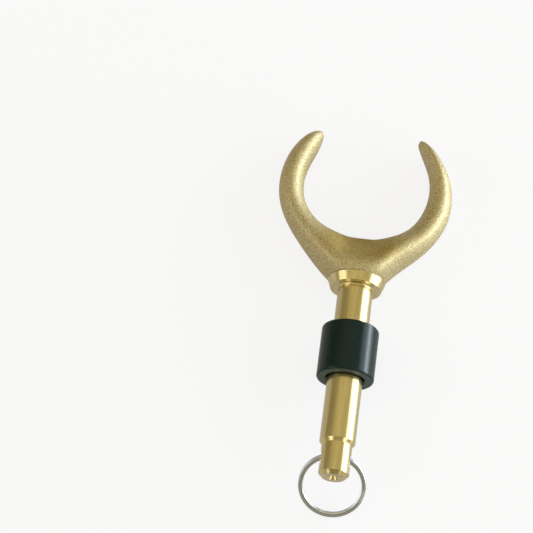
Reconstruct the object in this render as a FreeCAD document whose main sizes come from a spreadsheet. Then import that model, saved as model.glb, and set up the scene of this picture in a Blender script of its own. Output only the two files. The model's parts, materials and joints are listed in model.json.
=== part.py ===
import FreeCAD, Part
import Sketcher
import math
import os

# A cast brass rowlock for a small boat, lying on its side as it comes to rest on a flat surface.
# Each piece is drawn in the rowlock's own axes: X runs across the horn, Y along the shank with the
# horn towards +Y and the drilled end towards -Y, Z is square to the horn, and the origin is the
# middle of the shoulder that the sleeve seats on. One placement then lays the pieces down.

V = FreeCAD.Vector
doc = FreeCAD.newDocument("Rowlock")

# Driving dimensions, millimetres and degrees.
sizes = {
    # turned shank, half inch stock size, bevelled down to the drilled end
    "shank_diameter": 12.7,
    "shank_length": 59.6,
    "step_bevel": 1.2,
    "end_diameter": 10.85,
    "end_length": 13.1,
    "end_bevel": 1.25,
    "root_radius": 0.6,
    # turned collar under the cast horn, a short cone from the shoulder up
    "shoulder_diameter": 18.5,
    "collar_diameter": 20.8,
    "collar_height": 3.1,
    # cross hole for the ring and centre drilling of the end
    "hole_diameter": 4.4,
    "hole_below_step": 5.6,
    "hole_rounding": 0.35,
    "centre_mouth": 4.2,
    "centre_pilot": 1.6,
    "centre_cone_depth": 1.7,
    "centre_depth": 3.4,
    # horn: the crown in the middle over the shank, its radii taken from the opening's centre
    "crown_above_shoulder": 0.2,
    "crown_inner": 19.3,
    "crown_outer": 40.0,
    "crown_half_depth": 8.1,
    "crown_lean": 0.9,
    "crown_flat_angle": 4.0,
    "crown_inner_fall": 0.03,
    "crown_outer_fall": 0.2,
    # stations up the arms: angle from the shank, half depth and lean, the same on both sides
    "foot_angle": 12.5,
    "foot_half_depth": 8.1,
    "foot_lean": 0.8,
    "root_angle": 21.0,
    "root_half_depth": 8.4,
    "root_lean": 0.5,
    "bend_angle": 46.0,
    "bend_half_depth": 7.4,
    "bend_lean": 0.25,
    "side_angle": 76.0,
    "side_half_depth": 7.0,
    "side_lean": 0.1,
    "upper_angle": 104.0,
    "upper_half_depth": 7.05,
    "neck_before_tip": 16.9,
    "neck_half_depth": 6.6,
    "nose_before_tip": 6.0,
    "nose_half_depth": 4.7,
    "tip_half_depth": 1.9,
    "tip_rounding": 0.7,
    # inner and outer radius at each station, the left arm dressed a little fuller; the outside of
    # the foot and the root falls away from the crown's
    "right_foot_inner": 19.65,
    "right_foot_fall": 1.9,
    "right_root_inner": 20.1,
    "right_root_fall": 5.05,
    "right_bend_inner": 21.5,
    "right_bend_outer": 31.85,
    "right_side_inner": 22.1,
    "right_side_outer": 31.7,
    "right_upper_inner": 23.3,
    "right_upper_outer": 30.8,
    "right_neck_inner": 24.95,
    "right_neck_outer": 29.9,
    "right_nose_inner": 26.3,
    "right_nose_outer": 29.8,
    "right_tip_inner": 27.65,
    "right_tip_outer": 29.5,
    "right_tip_angle": 142.7,
    "left_foot_inner": 19.65,
    "left_foot_fall": 1.5,
    "left_root_inner": 20.1,
    "left_root_fall": 3.7,
    "left_bend_inner": 22.0,
    "left_bend_outer": 32.25,
    "left_side_inner": 23.4,
    "left_side_outer": 32.45,
    "left_upper_inner": 23.6,
    "left_upper_outer": 32.6,
    "left_neck_inner": 24.3,
    "left_neck_outer": 32.3,
    "left_nose_inner": 26.0,
    "left_nose_outer": 31.5,
    "left_tip_inner": 28.2,
    "left_tip_outer": 30.1,
    "left_tip_angle": 138.9,
    # sleeve on the shank
    "sleeve_diameter": 20.6,
    "sleeve_length": 19.5,
    "sleeve_clearance": 0.4,
    "sleeve_rounding": 0.8,
    "sleeve_bore_bevel": 0.5,
    "sleeve_below_shoulder": 16.0,
    # split ring of two turns of flat wire
    "ring_diameter": 24.0,
    "wire_width": 1.7,
    "wire_thickness": 0.8,
    "wire_rounding": 0.3,
    "turn_gap": 0.06,
    "crank_start": -35.0,
    "crank_sweep": 38.0,
    # how it rests
    "ring_rest_clearance": 0.05,
}

# Sizes that follow from those above.
following = {
    "opening_centre": "=crown_outer + crown_above_shoulder",
    "right_foot_outer": "=crown_outer - right_foot_fall",
    "right_root_outer": "=crown_outer - right_root_fall",
    "left_foot_outer": "=crown_outer - left_foot_fall",
    "left_root_outer": "=crown_outer - left_root_fall",
}

sheet = doc.addObject("Spreadsheet::Sheet", "Dims")
for row, (name, content) in enumerate(list(sizes.items()) + list(following.items()), 1):
    sheet.set("A%d" % row, name)
    sheet.set("B%d" % row, str(content))
    sheet.setAlias("B%d" % row, name)
doc.recompute()


def size(name):
    return float(sheet.get(name))


def origin_plane(body, role):
    return [item for item in body.Origin.OriginFeatures if item.Role == role][0]


def flat_sketch(body, name, role):
    sketch = body.newObject("Sketcher::SketchObject", name)
    sketch.AttachmentSupport = [(origin_plane(body, role), "")]
    sketch.MapMode = "FlatFace"
    return sketch


def radial_sketch(body, name, centre, angle):
    # a sketch whose first axis points away from the centre on +Y, turned from the shank by angle
    sketch = flat_sketch(body, name, "XZ_Plane")
    sketch.AttachmentOffset = FreeCAD.Placement(V(0, 0, 0), FreeCAD.Rotation(V(0, 1, 0), 10))
    sketch.setExpression("AttachmentOffset.Base.z", "-(%s)" % centre)
    sketch.setExpression("AttachmentOffset.Rotation.Angle", "%s - 90" % angle)
    return sketch


def worth(sketch, expression):
    # what an expression in the sheet's sizes comes to
    return float(sketch.evalExpression(expression))


def hold(sketch, kind, where, expression):
    # a driving dimension from the origin to a point, or of a piece, bound to the sheet
    number = sketch.addConstraint(Sketcher.Constraint(kind, *where))
    sketch.setExpression("Constraints[%d]" % number, expression)


def chain(sketch, corners):
    # a closed outline of straight sides, each corner held by its own two distances
    points = [[worth(sketch, distance) for distance in corner] for corner in corners]
    count = len(points)
    for k in range(count):
        start = V(points[k][0], points[k][1], 0)
        end = V(points[(k + 1) % count][0], points[(k + 1) % count][1], 0)
        sketch.addGeometry(Part.LineSegment(start, end), False)
    for k in range(count):
        sketch.addConstraint(Sketcher.Constraint("Coincident", k, 2, (k + 1) % count, 1))
    for k in range(count):
        across, along = corners[k]
        if across == "0":
            sketch.addConstraint(Sketcher.Constraint("PointOnObject", k, 1, -2))
        else:
            hold(sketch, "DistanceX", (-1, 1, k, 1, points[k][0]), across)
        if along == "0":
            sketch.addConstraint(Sketcher.Constraint("PointOnObject", k, 1, -1))
        else:
            hold(sketch, "DistanceY", (-1, 1, k, 1, points[k][1]), along)


# The casting: horn, boss and turned shank in one piece. The horn is lofted through oval sections
# set round the opening like the numbers of a clock, from one tip to the other. A section is a
# closed curve of eight control points, which sit outside the curve by a fixed share (8 point
# cubic: 1.108 for the first wave, 1.5 for the second), so that it reaches its radii and depth.
casting = doc.addObject("PartDesign::Body", "horn_and_shank")
casting.Label = "horn_and_shank"
FIRST_WAVE = 1.1082
SECOND_WAVE = 0.75


def oval_section(name, angle, inner, outer, half_depth, lean):
    sketch = radial_sketch(casting, name, "Dims.opening_centre", angle)
    middle = "(%s + %s) / 2" % (outer, inner)
    reach = "(%s - (%s)) / 2" % (outer, inner)
    radii = []
    depths = []
    for k in range(5):
        turn = math.radians(45 * k)
        first = FIRST_WAVE * math.sin(turn)
        second = SECOND_WAVE * math.sin(2 * turn)
        radii.append("%s + %s * %.4f" % (middle, reach, FIRST_WAVE * math.cos(turn)))
        depths.append("%s * (%.4f + %s * %.4f)" % (half_depth, first, lean, second))
    front = [V(worth(sketch, radius), worth(sketch, depth), 0) for radius, depth in zip(radii, depths)]
    poles = front + [V(front[8 - k].x, -front[8 - k].y, 0) for k in (5, 6, 7)]
    discs = [sketch.addGeometry(Part.Circle(pole, V(0, 0, 1), 1.0), True) for pole in poles]
    curve = Part.BSplineCurve()
    curve.buildFromPolesMultsKnots(poles, [1] * 9, list(range(9)), True, 3)
    oval = sketch.addGeometry(curve, False)
    sketch.addConstraint(Sketcher.Constraint("Weight", discs[0], 1.0))
    for k in range(1, 8):
        sketch.addConstraint(Sketcher.Constraint("Equal", discs[0], discs[k]))
    control = "InternalAlignment:Sketcher::BSplineControlPoint"
    for k in range(8):
        sketch.addConstraint(Sketcher.Constraint(control, discs[k], 3, oval, k))
    for k in (0, 4):
        sketch.addConstraint(Sketcher.Constraint("PointOnObject", discs[k], 3, -1))
    for k in (1, 2, 3):
        sketch.addConstraint(Sketcher.Constraint("Symmetric", discs[k], 3, discs[8 - k], 3, -1))
    for k in range(5):
        hold(sketch, "DistanceX", (-1, 1, discs[k], 3, poles[k].x), radii[k])
    for k in (1, 2, 3):
        hold(sketch, "DistanceY", (-1, 1, discs[k], 3, poles[k].y), depths[k])
    return sketch


def arm_section(side, sign, station, angle, lean):
    inner = "Dims.%s_%s_inner" % (side, station)
    outer = "Dims.%s_%s_outer" % (side, station)
    depth = "Dims.%s_half_depth" % station
    return oval_section("%s_%s" % (station, side), "%d * (%s)" % (sign, angle), inner, outer, depth, lean)


# The two arms start from one section in the middle of the crown. A second section close beside
# it makes each arm leave the middle squarely, so that they run into one another smoothly.
crown = oval_section(
    "crown_section", "0", "Dims.crown_inner", "Dims.crown_outer", "Dims.crown_half_depth", "Dims.crown_lean")


def arm(side, sign):
    beside = oval_section(
        "crown_%s" % side,
        "%d * Dims.crown_flat_angle" % sign,
        "(Dims.crown_inner + Dims.crown_inner_fall)",
        "(Dims.crown_outer - Dims.crown_outer_fall)",
        "Dims.crown_half_depth",
        "Dims.crown_lean")
    tip_angle = "Dims.%s_tip_angle" % side
    others = [
        arm_section(side, sign, "foot", "Dims.foot_angle", "Dims.foot_lean"),
        arm_section(side, sign, "root", "Dims.root_angle", "Dims.root_lean"),
        arm_section(side, sign, "bend", "Dims.bend_angle", "Dims.bend_lean"),
        arm_section(side, sign, "side", "Dims.side_angle", "Dims.side_lean"),
        arm_section(side, sign, "upper", "Dims.upper_angle", "0"),
        arm_section(side, sign, "neck", tip_angle + " - Dims.neck_before_tip", "0"),
        arm_section(side, sign, "nose", tip_angle + " - Dims.nose_before_tip", "0"),
        arm_section(side, sign, "tip", tip_angle, "0"),
    ]
    doc.recompute()
    loft = casting.newObject("PartDesign::AdditiveLoft", "arm_%s" % side)
    loft.Profile = crown
    loft.Sections = [beside] + others
    doc.recompute()
    return loft


arm("right", 1)
horn = arm("left", -1)


def edges_where(feature, test):
    return ["Edge%d" % (k + 1) for k, edge in enumerate(feature.Shape.Edges) if test(edge)]


def height_of_tip(side):
    # how high the inner edge of an arm's blunt end stands above the shoulder
    turn = math.radians(180 - size(side + "_tip_angle"))
    return size("opening_centre") + size(side + "_tip_inner") * math.cos(turn)


tip_height = min(height_of_tip("left"), height_of_tip("right")) - size("tip_half_depth")
tips = casting.newObject("PartDesign::Fillet", "tip_fillets")
tips.Base = (horn, edges_where(horn, lambda edge: edge.BoundBox.YMin > tip_height))
tips.setExpression("Radius", "Dims.tip_rounding")
doc.recompute()

# The turned shank, the bevel to its drilled end and the collar: half the outline on one side of
# the axis, spun round it.
turned = flat_sketch(casting, "turned_outline", "XY_Plane")
tip = "-(Dims.shank_length + Dims.end_length)"
step = "-Dims.shank_length"
shank = "Dims.shank_diameter / 2"
end = "Dims.end_diameter / 2"
chain(turned, [
    ("0", tip),
    (end + " - Dims.end_bevel", tip),
    (end, tip + " + Dims.end_bevel"),
    (end, step + " - Dims.step_bevel"),
    (shank, step),
    (shank, "0"),
    ("Dims.shoulder_diameter / 2", "0"),
    ("Dims.collar_diameter / 2", "Dims.collar_height"),
    ("0", "Dims.collar_height"),
])
doc.recompute()

spindle = casting.newObject("PartDesign::Revolution", "spindle")
spindle.Profile = turned
spindle.ReferenceAxis = (turned, ["V_Axis"])
spindle.Angle = 360
doc.recompute()

# The cross hole that the ring passes through, just below the step.
cross = flat_sketch(casting, "cross_hole_circle", "YZ_Plane")
hole_along = step + " - Dims.hole_below_step"
hole_middle = V(worth(cross, hole_along), 0, 0)
cross.addGeometry(Part.Circle(hole_middle, V(0, 0, 1), size("hole_diameter") / 2), False)
cross.addConstraint(Sketcher.Constraint("PointOnObject", 0, 3, -1))
hold(cross, "DistanceX", (-1, 1, 0, 3, hole_middle.x), hole_along)
hold(cross, "Diameter", (0, size("hole_diameter")), "Dims.hole_diameter")
doc.recompute()
cross_hole = casting.newObject("PartDesign::Pocket", "cross_hole")
cross_hole.Profile = cross
cross_hole.Type = 1
cross_hole.Midplane = True
doc.recompute()

# The centre drilling that held the casting in the lathe.
drill = flat_sketch(casting, "centre_outline", "XY_Plane")
chain(drill, [
    ("0", tip),
    ("Dims.centre_mouth / 2", tip),
    ("Dims.centre_pilot / 2", tip + " + Dims.centre_cone_depth"),
    ("Dims.centre_pilot / 2", tip + " + Dims.centre_depth"),
    ("0", tip + " + Dims.centre_depth + Dims.centre_pilot * 0.3"),
])
doc.recompute()
centre = casting.newObject("PartDesign::Groove", "centre_drilling")
centre.Profile = drill
centre.ReferenceAxis = (drill, ["V_Axis"])
centre.Angle = 360
doc.recompute()


def root_edge(edge):
    # the circle where the shank meets the shoulder
    box = edge.BoundBox
    return abs(box.YMin) < 1e-3 and box.YLength < 1e-3 and abs(box.XMax - size("shank_diameter") / 2) < 1e-3


def mouth_edge(edge):
    # the two mouths of the cross hole
    middle = -size("shank_length") - size("hole_below_step")
    box = edge.BoundBox
    wide = abs(box.ZLength - size("hole_diameter")) < 0.05
    return wide and abs(box.Center.y - middle) < 0.05 and abs(box.Center.x) > 3


root = casting.newObject("PartDesign::Fillet", "root_fillet")
root.Base = (centre, edges_where(centre, root_edge))
root.setExpression("Radius", "Dims.root_radius")
doc.recompute()
mouths = casting.newObject("PartDesign::Fillet", "hole_mouths")
mouths.Base = (root, edges_where(root, mouth_edge))
mouths.setExpression("Radius", "Dims.hole_rounding")
doc.recompute()

# The sleeve: a plain tube of dark plastic, loose on the shank.
sleeve = doc.addObject("PartDesign::Body", "sleeve")
sleeve.Label = "sleeve"
ring_face = flat_sketch(sleeve, "sleeve_circle", "XZ_Plane")
ring_face.setExpression("AttachmentOffset.Base.z", "Dims.sleeve_below_shoulder")
ring_face.addGeometry(Part.Circle(V(0, 0, 0), V(0, 0, 1), size("sleeve_diameter") / 2), False)
ring_face.addConstraint(Sketcher.Constraint("Coincident", 0, 3, -1, 1))
hold(ring_face, "Diameter", (0, size("sleeve_diameter")), "Dims.sleeve_diameter")
doc.recompute()
tube = sleeve.newObject("PartDesign::Pad", "sleeve_wall")
tube.Profile = ring_face
tube.setExpression("Length", "Dims.sleeve_length")
doc.recompute()
bore_face = flat_sketch(sleeve, "bore_circle", "XZ_Plane")
bore_face.setExpression("AttachmentOffset.Base.z", "Dims.sleeve_below_shoulder")
bore_diameter = size("shank_diameter") + 2 * size("sleeve_clearance")
bore_face.addGeometry(Part.Circle(V(0, 0, 0), V(0, 0, 1), bore_diameter / 2), False)
bore_face.addConstraint(Sketcher.Constraint("Coincident", 0, 3, -1, 1))
hold(bore_face, "Diameter", (0, bore_diameter), "Dims.shank_diameter + 2 * Dims.sleeve_clearance")
doc.recompute()
bore = sleeve.newObject("PartDesign::Pocket", "sleeve_bore")
bore.Profile = bore_face
bore.Type = 1
bore.Midplane = True
doc.recompute()
rim = sleeve.newObject("PartDesign::Fillet", "sleeve_rims")
rim.Base = (bore, edges_where(bore, lambda edge: edge.BoundBox.YLength < 1e-3
                              and edge.BoundBox.XMax > size("sleeve_diameter") / 2 - 0.01))
rim.setExpression("Radius", "Dims.sleeve_rounding")
doc.recompute()
lead = sleeve.newObject("PartDesign::Chamfer", "bore_bevels")
lead.Base = (rim, edges_where(rim, lambda edge: edge.BoundBox.YLength < 1e-3
                              and edge.BoundBox.XMax < bore_diameter / 2 + 0.01))
lead.setExpression("Size", "Dims.sleeve_bore_bevel")
doc.recompute()

# The split ring: two turns of flat wire, one on the other, with a crank between them at the side.
# It is drawn about its own centre, with the stretch that lies in the cross hole towards +Y.
ring = doc.addObject("PartDesign::Body", "split_ring")
ring.Label = "split_ring"


def wire_section(name, angle, level):
    # the flat wire cut across: a rectangle with rounded corners at one place round the ring
    sketch = radial_sketch(ring, name, "0", "(%s) + 90" % angle)
    out = size("ring_diameter") / 2
    wide = size("wire_width")
    thick = size("wire_thickness")
    rounding = size("wire_rounding")
    left, right, low, high = out - wide, out, -thick / 2, thick / 2
    corners = [(right, low), (right, high), (left, high), (left, low)]
    inset = [(-1, 1), (-1, -1), (1, -1), (1, 1)]
    for k in range(4):
        x0, y0 = corners[k]
        x1, y1 = corners[(k + 1) % 4]
        run = V(x1 - x0, y1 - y0, 0).normalize() * rounding
        sketch.addGeometry(Part.LineSegment(V(x0, y0, 0) + run, V(x1, y1, 0) - run), False)
    for k in range(4):
        # the arc round corner k joins side k - 1 to side k
        centre_at = V(corners[k][0] + inset[k][0] * rounding, corners[k][1] + inset[k][1] * rounding, 0)
        circle = Part.Circle(centre_at, V(0, 0, 1), rounding)
        first = math.radians(270 + 90 * k)
        sketch.addGeometry(Part.ArcOfCircle(circle, first, first + math.pi / 2), False)
    for k in range(4):
        sketch.addConstraint(Sketcher.Constraint("Tangent", 4 + k, 1, (k - 1) % 4, 2))
        sketch.addConstraint(Sketcher.Constraint("Tangent", 4 + k, 2, k, 1))
    sketch.addConstraint(Sketcher.Constraint("Vertical", 0))
    sketch.addConstraint(Sketcher.Constraint("Horizontal", 1))
    sketch.addConstraint(Sketcher.Constraint("Vertical", 2))
    sketch.addConstraint(Sketcher.Constraint("Horizontal", 3))
    for k in range(3):
        sketch.addConstraint(Sketcher.Constraint("Equal", 4, 5 + k))
    hold(sketch, "Radius", (4, rounding), "Dims.wire_rounding")
    hold(sketch, "DistanceX", (-1, 1, 0, 1, right), "Dims.ring_diameter / 2")
    hold(sketch, "DistanceX", (-1, 1, 2, 1, left), "Dims.ring_diameter / 2 - Dims.wire_width")
    hold(sketch, "DistanceY", (-1, 1, 1, 1, high), "Dims.wire_thickness / 2 + (%s)" % level)
    hold(sketch, "DistanceY", (-1, 1, 3, 1, low), "(%s) - Dims.wire_thickness / 2" % level)
    return sketch


half_pitch = "(Dims.wire_thickness + Dims.turn_gap) / 2"
upper_end = "Dims.crank_start + Dims.crank_sweep"
upper = wire_section("upper_turn_section", upper_end, half_pitch)
lower = wire_section("lower_turn_section", upper_end, "-" + half_pitch)
doc.recompute()
upper_turn = ring.newObject("PartDesign::Revolution", "upper_turn")
upper_turn.Profile = upper
upper_turn.ReferenceAxis = (upper, ["V_Axis"])
upper_turn.setExpression("Angle", "360 - Dims.crank_sweep")
doc.recompute()
crank_sections = []
for k, share in enumerate((0.0, 0.25, 0.5, 0.75, 1.0)):
    fall = math.cos(math.pi * share)
    crank_sections.append(wire_section(
        "crank_section_%d" % k,
        "Dims.crank_start + Dims.crank_sweep * %.2f" % share,
        "%.4f * %s" % (fall, half_pitch)))
doc.recompute()
crank = ring.newObject("PartDesign::AdditiveLoft", "crank")
crank.Profile = crank_sections[0]
crank.Sections = crank_sections[1:]
doc.recompute()
lower_turn = ring.newObject("PartDesign::Revolution", "lower_turn")
lower_turn.Profile = lower
lower_turn.ReferenceAxis = (lower, ["V_Axis"])
lower_turn.setExpression("Angle", "360 - Dims.crank_sweep")
doc.recompute()

# How it rests: on the foot of the horn and the undersides of both arms, so that the drilled end
# stands clear of the surface. The slope is the one at which both touch together.
def low_side(shape, keep):
    # the underside of a shape as points along the shank and below it
    return [(point.y, point.z) for point in shape.tessellate(0.02)[0] if keep(point)]


foot = low_side(casting.Shape, lambda point: 0 < point.y < size("opening_centre") / 2 and point.z < 0)
arms = low_side(casting.Shape, lambda point: point.y > size("opening_centre") and point.z < 0)


def lowest(points, slope):
    return min(down * math.cos(slope) - along * math.sin(slope) for along, down in points)


low_slope = 0.0
high_slope = math.radians(20)
for halving in range(40):
    slope = (low_slope + high_slope) / 2
    if lowest(foot, slope) < lowest(arms, slope):
        low_slope = slope
    else:
        high_slope = slope
surface = lowest(foot, slope)

# The ring hangs through the cross hole and swings down until its far side meets the surface.
hinge_along = -size("shank_length") - size("hole_below_step")
mean_radius = (size("ring_diameter") - size("wire_width")) / 2
sagitta = mean_radius - math.sqrt(mean_radius ** 2 - (size("end_diameter") / 2) ** 2)
ring_offset = mean_radius - sagitta / 2
ring_reach = ring_offset + size("ring_diameter") / 2
half_stack = size("wire_thickness") + size("turn_gap") / 2
hinge_height = -hinge_along * math.sin(slope) - surface
low_swing = 0.0
high_swing = math.radians(89)
for halving in range(40):
    swing = (low_swing + high_swing) / 2
    gap = hinge_height - ring_reach * math.sin(swing) - half_stack * math.cos(swing)
    if gap > size("ring_rest_clearance"):
        low_swing = swing
    else:
        high_swing = swing
swing_from_shank = math.degrees(swing + slope)

laid = FreeCAD.Placement(V(0, 0, -surface), FreeCAD.Rotation(V(1, 0, 0), -math.degrees(slope)))
hinge = FreeCAD.Placement(V(0, hinge_along, 0), FreeCAD.Rotation(V(1, 0, 0), swing_from_shank))
ring_centre = FreeCAD.Placement(V(0, -ring_offset, 0), FreeCAD.Rotation())
places = {
    "horn_and_shank": laid,
    "sleeve": laid,
    "split_ring": laid * hinge * ring_centre,
}
pieces = [casting, sleeve, ring]
for piece in pieces:
    piece.Placement = places[piece.Label]
doc.recompute()

# The origin is under the middle of the whole, on the surface.
spread = [point for piece in pieces for point in piece.Shape.tessellate(0.02)[0]]
middle_x = (min(point.x for point in spread) + max(point.x for point in spread)) / 2
middle_y = (min(point.y for point in spread) + max(point.y for point in spread)) / 2
base = min(point.z for point in spread)
centring = FreeCAD.Placement(V(-middle_x, -middle_y, -base), FreeCAD.Rotation())
for piece in pieces:
    piece.Placement = centring * piece.Placement
doc.recompute()

for item in doc.Objects:
    if "Invalid" in item.State or "Error" in item.State:
        raise RuntimeError("%s did not build: %s" % (item.Name, item.State))
for piece in pieces:
    if piece.Shape.isNull() or not piece.Shape.isValid() or len(piece.Shape.Solids) != 1:
        raise RuntimeError("%s has no sound solid" % piece.Label)

os.makedirs("parts", exist_ok=True)
for piece in pieces:
    piece.Shape.exportStep("parts/%s.step" % piece.Label)
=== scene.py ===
import json
import math

import bpy
from mathutils import Euler, Matrix, Vector

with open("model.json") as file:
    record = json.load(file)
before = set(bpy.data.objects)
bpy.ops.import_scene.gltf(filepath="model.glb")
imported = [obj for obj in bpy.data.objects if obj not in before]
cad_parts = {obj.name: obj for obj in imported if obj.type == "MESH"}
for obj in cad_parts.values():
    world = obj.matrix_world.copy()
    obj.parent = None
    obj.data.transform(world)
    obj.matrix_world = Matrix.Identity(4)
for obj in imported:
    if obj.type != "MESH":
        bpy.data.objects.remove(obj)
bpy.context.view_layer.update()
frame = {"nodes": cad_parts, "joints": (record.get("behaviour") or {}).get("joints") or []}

# How the rowlock lies. Its own axes come from its joints: the sleeve slides along the shank and
# the ring turns about a line across it. They start from the middle of the shoulder, the flat face
# under the collar.
hole_to_shoulder = 0.0652
joints = {joint["name"]: joint for joint in frame["joints"]}
across = Vector((1, 0, 0))
along = Vector(joints["sleeve_slide"]["axis"]).normalized()
upward = across.cross(along)
cross_hole = Vector(joints["ring_swing"]["pos_m"])
own_axes = Matrix((across, along, upward)).transposed().to_4x4()
own_axes.translation = cross_hole + along * hole_to_shoulder
to_own = own_axes.inverted()

# The camera looks steeply down on the rowlock from beyond its drilled end, through a long lens. Its
# turn and place are along the rowlock's own axes, and were fitted to the photograph's outline.
camera_data = bpy.data.cameras.new("camera")
camera_data.sensor_width = 36
camera_data.lens = 153.97
camera_data.clip_start = 0.05
camera_data.clip_end = 20
camera = bpy.data.objects.new("camera", camera_data)
bpy.context.scene.collection.objects.link(camera)
camera_turn = Euler([math.radians(angle) for angle in (25.637, -0.964, 7.141)])
camera_place = camera_turn.to_matrix().to_4x4()
camera_place.translation = (-0.00103, -0.35160, 0.74564)
camera.matrix_world = own_axes @ camera_place
bpy.context.scene.camera = camera


# The casting is one piece of brass: horn, collar and shank. The horn keeps the fine satin grain
# of a tumbled sand casting. The collar, shank, bevel and drilled end are turned bright in a
# lathe, which leaves fine rings round them.
class Field:
    """A socket of a material that can be used in plain arithmetic."""

    def __init__(self, tree, socket=None):
        self.tree = tree
        self.socket = socket

    def node(self, kind, settings=None, inputs=None, output=0):
        """A new node in this field's tree, as a field of one of its outputs."""
        made = self.tree.nodes.new(kind)
        for name, value in (settings or {}).items():
            setattr(made, name, value)
        for name, value in (inputs or {}).items():
            if isinstance(value, Field):
                self.tree.links.new(value.socket, made.inputs[name])
            else:
                made.inputs[name].default_value = value
        return Field(self.tree, made.outputs[output])

    def maths(self, operation, *values):
        return self.node("ShaderNodeMath", {"operation": operation}, dict(enumerate(values)))

    def __add__(self, other):
        return self.maths("ADD", self, other)

    def __radd__(self, other):
        return self.maths("ADD", other, self)

    def __sub__(self, other):
        return self.maths("SUBTRACT", self, other)

    def __rsub__(self, other):
        return self.maths("SUBTRACT", other, self)

    def __mul__(self, other):
        return self.maths("MULTIPLY", self, other)

    def __rmul__(self, other):
        return self.maths("MULTIPLY", other, self)

    def step(self, low, high):
        """0 below low and 1 above high, with a smooth rise between."""
        return self.node("ShaderNodeMapRange", {"interpolation_type": "SMOOTHSTEP"}, {
            "Value": self, "From Min": low, "From Max": high})

    def blend(self, first, second):
        """The first colour where this is 0 and the second where it is 1."""
        first, second = (
            colour if isinstance(colour, Field) else (*colour, 1) for colour in (first, second))
        return self.node("ShaderNodeMix", {"data_type": "RGBA"}, {0: self, 6: first, 7: second}, 2)

    def noise(self, **inputs):
        """Noise at the place that this holds."""
        return self.node("ShaderNodeTexNoise", inputs={"Vector": self, **inputs})

    def lines(self, **inputs):
        """Noise that changes with this one number only."""
        return self.node("ShaderNodeTexNoise", {"noise_dimensions": "1D"}, {"W": self, **inputs})

    def scaled(self, *factors):
        """The place that this holds, with each of its coordinates times a factor."""
        return self.node("ShaderNodeVectorMath", {"operation": "MULTIPLY"}, {0: self, 1: factors})

    def seen_from(self, **inputs):
        """The place that this holds, as seen from a box with its own middle, turn or size."""
        return self.node("ShaderNodeMapping", {"vector_type": "TEXTURE"}, {
            "Vector": self, **inputs})

    def length(self):
        return self.node("ShaderNodeVectorMath", {"operation": "LENGTH"}, {0: self}, "Value")

    def height(self):
        """How far up the shank the place that this holds is."""
        return self.node("ShaderNodeSeparateXYZ", inputs={"Vector": self}, output="Y")

    def bump(self, strength, distance):
        return self.node("ShaderNodeBump", inputs={
            "Strength": strength, "Distance": distance, "Height": self})


mm_per_metre = 1000


def start_material(name, piece):
    """A new material on the piece, and its place in millimetres along the rowlock's own axes."""
    material = bpy.data.materials.new(name)
    material.use_nodes = True
    for slot in piece.material_slots:
        slot.material = material
    place = Field(material.node_tree).node("ShaderNodeTexCoord", output="Object")
    return material, place.node("ShaderNodeMapping", {"vector_type": "POINT"}, {
        "Vector": place,
        "Location": tuple(to_own.translation * mm_per_metre),
        "Rotation": tuple(to_own.to_euler()),
        "Scale": (mm_per_metre,) * 3,
    })


def set_surface(material, constants, fields):
    """The piece's own shader: plain numbers stay on its sockets, fields are linked to them."""
    shader = material.node_tree.nodes["Principled BSDF"]
    for name, value in constants.items():
        shader.inputs[name].default_value = value
    for name, field in fields.items():
        material.node_tree.links.new(field.socket, shader.inputs[name])


brass, place = start_material("brass", frame["nodes"]["horn_and_shank"])
height = place.height()
collar_top = 3.1
edge_blur = 0.06
cast = height.step(collar_top - edge_blur, collar_top + edge_blur)

# grain of the casting, in its colour, its sheen and its relief
grain = place.noise(Scale=2.4, Detail=4.0, Roughness=0.65)
fine_grain = place.noise(Scale=7.0, Detail=2.0)
speckle = grain.step(0.34, 0.64)
cast_colour = speckle.blend((0.37, 0.285, 0.095), (0.74, 0.655, 0.44))
cast_roughness = 0.58 + 0.16 * grain
cast_relief = grain * 0.7 + fine_grain * 0.3

# the web between the arms is painted darker and browner, as painted shade, and a slow drift
# of tone keeps it uneven
web_middle = (0, 16, 6)
web_reach = (15, 9, 9)
drift = place.noise(Scale=0.07, Detail=3.0)
from_web = place.seen_from(Location=web_middle, Scale=web_reach).length()
painted_web_shade = (1 - from_web.step(0.6, 1.3)) * (0.75 + 0.5 * drift)
painted_web_shade_colour = speckle.blend((0.32, 0.23, 0.05), (0.60, 0.46, 0.16))
# from here the cast colour also holds the painted shade of the web
cast_colour = (0.9 * painted_web_shade).blend(cast_colour, painted_web_shade_colour)

# lathe rings round the turned lengths, and faint streaks along them, whose light and dark tone in
# the colour is painted reflection
rings = height.lines(Scale=5.0, Detail=4.0)
reflection_streaks = place.scaled(1.0, 0.06, 1.0).noise(Scale=0.9, Detail=4.0)
turned_colour = reflection_streaks.step(0.3, 0.75).blend((0.67, 0.545, 0.24), (0.56, 0.44, 0.155))
turned_roughness = 0.15 + 0.1 * rings + 0.06 * reflection_streaks
turned_relief = rings * 0.08

set_surface(brass, {"Metallic": 1.0, "Coat Roughness": 0.22, "Coat IOR": 1.8}, {
    "Base Color": cast.blend(turned_colour, cast_colour),
    "Roughness": cast * cast_roughness + (1 - cast) * turned_roughness,
    "Coat Weight": 1 - 0.8 * cast,
    "Normal": (cast * cast_relief + (1 - cast) * turned_relief).bump(0.7, 0.0001),
})

# The sleeve is a short tube of very dark green plastic, loose on the shank. Its wall is satin
# from the mould, and its cut ends are a little duller and paler.
sleeve = frame["nodes"]["sleeve"]
plastic, place = start_material("dark_plastic", sleeve)
height = place.height()
cloud = place.noise(Scale=0.5, Detail=4.0)
tooth = place.noise(Scale=6.0, Detail=3.0)
wall_colour = cloud.step(0.3, 0.7).blend((0.0002, 0.011, 0.013), (0.001, 0.017, 0.019))

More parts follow.
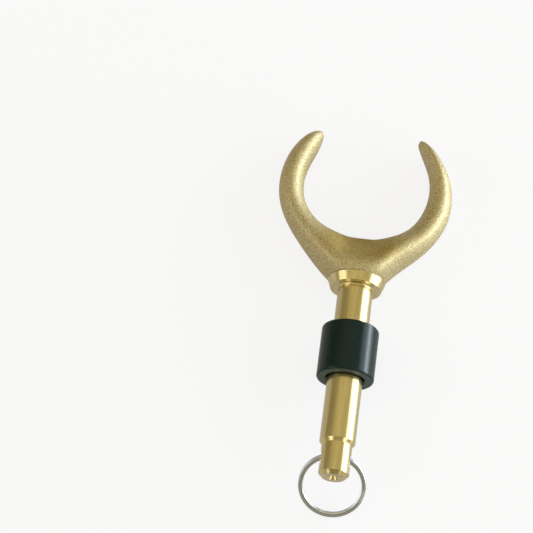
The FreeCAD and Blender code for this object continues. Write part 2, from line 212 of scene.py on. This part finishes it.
# a cut end is what lies within some hundredths of a millimetre of the lowest or highest place
cut_depth = 0.02
cut_fade = 0.05
heights = [(to_own @ vertex.co).y * mm_per_metre for vertex in sleeve.data.vertices]
lowest, highest = min(heights), max(heights)
lower_end = 1 - height.step(lowest + cut_depth, lowest + cut_depth + cut_fade)
upper_end = height.step(highest - cut_depth - cut_fade, highest - cut_depth)
ends = lower_end + upper_end

set_surface(plastic, {"Metallic": 0.0, "IOR": 1.36, "Specular IOR Level": 0.5}, {
    "Base Color": ends.blend(wall_colour, (0.043, 0.072, 0.070)),
    "Roughness": 0.16 + 0.07 * tooth + 0.05 * cloud + 0.2 * ends,
    "Normal": tooth.bump(0.25, 0.00004),
})

# The split ring is two close turns of flattened steel wire with bright nickel plate, put through
# the cross hole. Drawing and rolling left faint lines along the wire, which show as lines that
# change with the distance from the ring's middle. Their light and dark bands in the colour are
# also painted highlight and shade of the wire's edges.
ring = frame["nodes"]["split_ring"]
nickel, place = start_material("nickel_plate", ring)
ring_middle = sum((ring.matrix_world @ Vector(corner) for corner in ring.bound_box), Vector()) / 8
falling = (ring_middle - cross_hole).normalized()
ring_axes = Matrix((across, falling, across.cross(falling))).transposed()
in_ring = place.seen_from(
    Location=tuple(to_own @ ring_middle * mm_per_metre),
    Rotation=tuple((to_own.to_3x3() @ ring_axes).to_euler()),
)
wire_lines_and_edge_shade = in_ring.scaled(1, 1, 0).length().lines(Scale=2.6, Detail=3.0)
haze = place.noise(Scale=1.2, Detail=4.0)
set_surface(nickel, {"Metallic": 1.0}, {
    "Base Color": wire_lines_and_edge_shade.step(0.4, 0.62).blend((0.50, 0.54, 0.66), (0.84, 0.89, 1.0)),
    "Roughness": 0.1 + 0.12 * haze,
    "Normal": wire_lines_and_edge_shade.bump(0.5, 0.0001),
})

# The surface that the rowlock lies on: a plain white table. The camera sees mostly its own white.
# In the metal it shows as a greyer board that keeps the rowlock's shadow.
bpy.ops.mesh.primitive_plane_add(size=3.0, location=(0, 0, 0))
table = bpy.context.object
table.name = "table"
table_finish = bpy.data.materials.new("white_table")
table_finish.use_nodes = True
table.data.materials.append(table_finish)
own_white_seen = 0.84
own_white_in_metal = 0.25
board = Field(table_finish.node_tree)
camera_ray = board.node("ShaderNodeLightPath", output="Is Camera Ray")
glossy_ray = board.node("ShaderNodeLightPath", output="Is Glossy Ray")
clear_ray = board.node("ShaderNodeLightPath", output="Is Transmission Ray")
set_surface(table_finish, {}, {
    "Base Color": camera_ray.blend((0.62, 0.62, 0.62), (0.93, 0.94, 1.0)),
    "Roughness": 0.2 + 0.7 * camera_ray,
})
shader = table_finish.node_tree.nodes["Principled BSDF"]
white = board.node("ShaderNodeEmission", inputs={"Color": (0.985, 0.985, 1.0, 1)})
mixed = board.node("ShaderNodeMixShader", inputs={
    0: (camera_ray + clear_ray) * own_white_seen + glossy_ray * own_white_in_metal,
    1: Field(board.tree, shader.outputs[0]),
    2: white,
})
output = board.tree.nodes["Material Output"]
board.tree.links.new(mixed.socket, output.inputs["Surface"])

# Soft studio light: a long box and a low strip on the right, one box on the left and two small
# ones in front, each facing the rowlock. Sizes and places are in metres and powers in watts.
for name, at, size, power, tint in (
    ("right_box", (1.25, 0.20, 0.39), (2.2, 0.82), 15.5, (0.84, 0.93, 1.0)),
    ("right_strip", (1.25, 0.40, 0.12), (1.5, 0.24), 13.0, (0.84, 0.93, 1.0)),
    ("left_box", (-1.10, -0.25, 0.62), (0.9, 0.7), 3.0, (1.0, 0.97, 0.95)),
    ("front_left_box", (-0.75, -1.05, 0.50), (0.35, 0.5), 1.2, (1.0, 1.0, 1.0)),
    ("front_right_box", (0.80, -0.95, 0.45), (0.35, 0.5), 1.2, (1.0, 1.0, 1.0)),
):
    lamp = bpy.data.lights.new(name, "AREA")
    lamp.shape = "RECTANGLE"
    lamp.size, lamp.size_y = size
    lamp.energy = power
    lamp.color = tint
    light = bpy.data.objects.new(name, lamp)
    bpy.context.scene.collection.objects.link(light)
    light.location = at
    light.rotation_euler = (-Vector(at)).to_track_quat("-Z", "Y").to_euler()

# The room: lighter overhead than at the horizon, and white where the camera sees it.
world = bpy.data.worlds.new("room")
bpy.context.scene.world = world
world.use_nodes = True
room = Field(world.node_tree)
direction = room.node("ShaderNodeTexCoord", output="Generated")
overhead = room.node("ShaderNodeSeparateXYZ", inputs={"Vector": direction}, output="Z")
shade = overhead.step(0.45, 0.95).blend((0.33, 0.29, 0.18), (0.73, 0.66, 0.42))
camera_ray = room.node("ShaderNodeLightPath", output="Is Camera Ray")
shade = camera_ray.blend(shade, (0.96, 0.96, 0.96))
background = world.node_tree.nodes["Background"]
world.node_tree.links.new(shade.socket, background.inputs["Color"])

bpy.context.scene.view_settings.view_transform = "Standard"
